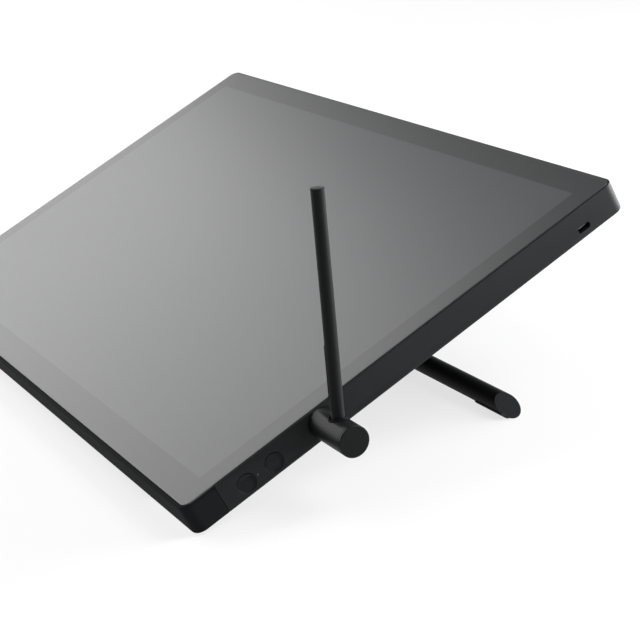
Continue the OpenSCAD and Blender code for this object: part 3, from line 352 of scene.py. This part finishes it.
turned_acetal = grained("turned_black_acetal", "#0c0d0e", "#101112", (0.44, 0.52), 0.5, 0.006, patch=20,
                        specular=0.12)
fit(softened("pen_holder", 0.0), "pen_holder", turned_acetal, "holder_black", "pen_holder")
fit(softened("holder_cap", 0.0), "pen_holder", turned_acetal, "holder_black", "holder_cap")
soft_grommet = grained("soft_black_grommet", "#0f1011", "#141516", (0.8, 0.9), 0.5, 0.01, specular=0.08)
fit(turned("pen_hole_lip", LIP, HOLDER_R), "pen_holder", soft_grommet, "holder_black")


# Pen: tip, barrel, side switch and tail cap over the nib, coil, pressure sensor and board.
# Moulded plastic with a soft-touch coat that leaves only a faint streak of light on the barrel.
# A grey disc closes the tail cap.
TAIL_TOP = 147.04
TAIL_R = 3.7
TAIL_DISC = [(0, TAIL_TOP), (TAIL_R - 0.15, TAIL_TOP), (TAIL_R, TAIL_TOP - 0.09), (TAIL_R, TAIL_TOP - 0.84),
             (0, TAIL_TOP - 0.84)]
pen_black = grained("soft_touch_pen_plastic", "#0c0d0e", "#101112", (0.62, 0.72), 0.5, 0.006, patch=20,
                    specular=0.14)
tail_grey = grained("grey_tail_plastic", "#3f4143", "#46484a", (0.6, 0.7), 0.5, 0.006, specular=0.15)
nib_plastic = grained("acetal_nib", "#303134", "#3a3b3e", (0.4, 0.5), 0.5, 0.004)
copper_wire = grained("enamelled_copper", "#7a4a24", "#8f5a30", (0.3, 0.4), 0.5, 0.01, metallic=1.0)
fit(softened("pen_barrel", 0.1), "pen", pen_black, "pen_black", "pen_barrel")
fit(softened("pen_tip", 0.1), "pen", pen_black, "pen_black", "pen_tip")
fit(softened("side_switch", 0.1), "side_switch", satin_black, "switch_black", "side_switch")
fit(softened("pen_tail", 0.2), "pen", pen_black, "pen_black", "pen_tail")
fit(turned("pen_tail_disc", TAIL_DISC), "pen", tail_grey, "tail_grey")
dress(nib_plastic, "pen_nib")
dress(zinc_steel, "pressure_sensor")
dress(copper_wire, "pen_coil")


# Studio: a pale floor that shows white but keeps the shadow, and white air that darkens upwards.
# The large softbox on the left is what the screen reflects. One behind on the right throws the shadow,
# and two low ones behind draw the highlight on the far corner.
def studio_floor():
    shape = bmesh.new()
    bmesh.ops.create_circle(shape, cap_ends=True, segments=64, radius=14)
    mesh = bpy.data.meshes.new("studio_floor")
    shape.to_mesh(mesh)
    shape.free()
    floor = bpy.data.objects.new("studio_floor", mesh)
    bpy.context.scene.collection.objects.link(floor)
    material, tree = finish_named("pale_studio_floor")
    path = add(tree, "ShaderNodeLightPath")
    seen = add(tree, "ShaderNodeMath", {0: path.outputs["Is Camera Ray"], 1: path.outputs["Is Glossy Ray"]},
               operation="MAXIMUM")
    seen = add(tree, "ShaderNodeMath", {0: seen.outputs[0], 1: path.outputs["Is Transmission Ray"]},
               operation="MAXIMUM")
    lift = add(tree, "ShaderNodeMath", {0: seen.outputs[0], 1: 0.72}, operation="MULTIPLY")
    paper = add(tree, "ShaderNodeBsdfDiffuse", {"Color": linear("#f6f6f6")})
    glow = add(tree, "ShaderNodeEmission", {"Color": linear("#ffffff"), "Strength": 1.0})
    mix = add(tree, "ShaderNodeMixShader", {0: lift.outputs[0], 1: paper.outputs[0], 2: glow.outputs[0]})
    add(tree, "ShaderNodeOutputMaterial", {"Surface": mix.outputs[0]})
    mesh.materials.append(material)


def softbox(name, place, aim, width, height, radiance, roll=0):
    lamp = bpy.data.lights.new(name, "AREA")
    lamp.shape = "RECTANGLE"
    lamp.size, lamp.size_y = width, height
    lamp.energy = radiance * math.pi * width * height
    holder = bpy.data.objects.new(name, lamp)
    holder.location = place
    towards = (Vector(aim) - Vector(place)).to_track_quat("-Z", "Y")
    towards = towards @ Quaternion((0, 0, 1), math.radians(roll))
    holder.rotation_euler = towards.to_euler()
    bpy.context.scene.collection.objects.link(holder)


def studio_air():
    world = bpy.data.worlds.new("studio_air")
    world.use_nodes = True
    tree = world.node_tree
    tree.nodes.clear()
    upwards = add(tree, "ShaderNodeTexCoord").outputs["Generated"]
    towards = add(tree, "ShaderNodeSeparateXYZ", {"Vector": upwards})
    shade = add(tree, "ShaderNodeMapRange", {"Value": towards.outputs["Z"], "From Min": 0.18, "From Max": 0.4,
                                             "To Min": 1.0, "To Max": 0.25})
    diffuse = add(tree, "ShaderNodeLightPath").outputs["Is Diffuse Ray"]
    air = add(tree, "ShaderNodeMix", {0: diffuse, 2: shade.outputs["Result"], 3: 0.2})
    sky = add(tree, "ShaderNodeBackground", {"Color": linear("#ffffff"), "Strength": air.outputs[0]})
    add(tree, "ShaderNodeOutputWorld", {"Surface": sky.outputs[0]})
    bpy.context.scene.world = world


studio_floor()
studio_air()
softbox("left_softbox", (-1.709, -0.647, 1.213), (0.0, 0.15, 0.08), 2.65, 2.4, 3.5, roll=-28)
softbox("back_softbox", (0.72, 0.9, 0.26), (0.28, 0.32, 0.1), 0.4, 0.3, 12.0)
softbox("rim_softbox", (0.38, 1.32, 0.14), (0.28, 0.33, 0.12), 0.9, 0.24, 36.0)
softbox("right_softbox", (0.95, 0.95, 1.1), (0.29, 0.15, 0.05), 0.7, 0.7, 8.5)

eye = bpy.data.cameras.new("photo_camera")
eye.lens, eye.sensor_width = 102.31, 36
camera = bpy.data.objects.new("photo_camera", eye)
to_right = Vector((0.459, 0.878, -0.1465)).normalized()
to_up = Vector((-0.238, 0.280, 0.931)).normalized()
to_back = to_right.cross(to_up).normalized()
to_up = to_back.cross(to_right)
turn = Matrix((to_right, to_up, to_back)).transposed().to_4x4()
camera.matrix_world = Matrix.Translation((1.1873, -0.3235, 0.4631)) @ turn
bpy.context.scene.collection.objects.link(camera)
bpy.context.scene.camera = camera
bpy.context.scene.view_settings.view_transform = "Standard"
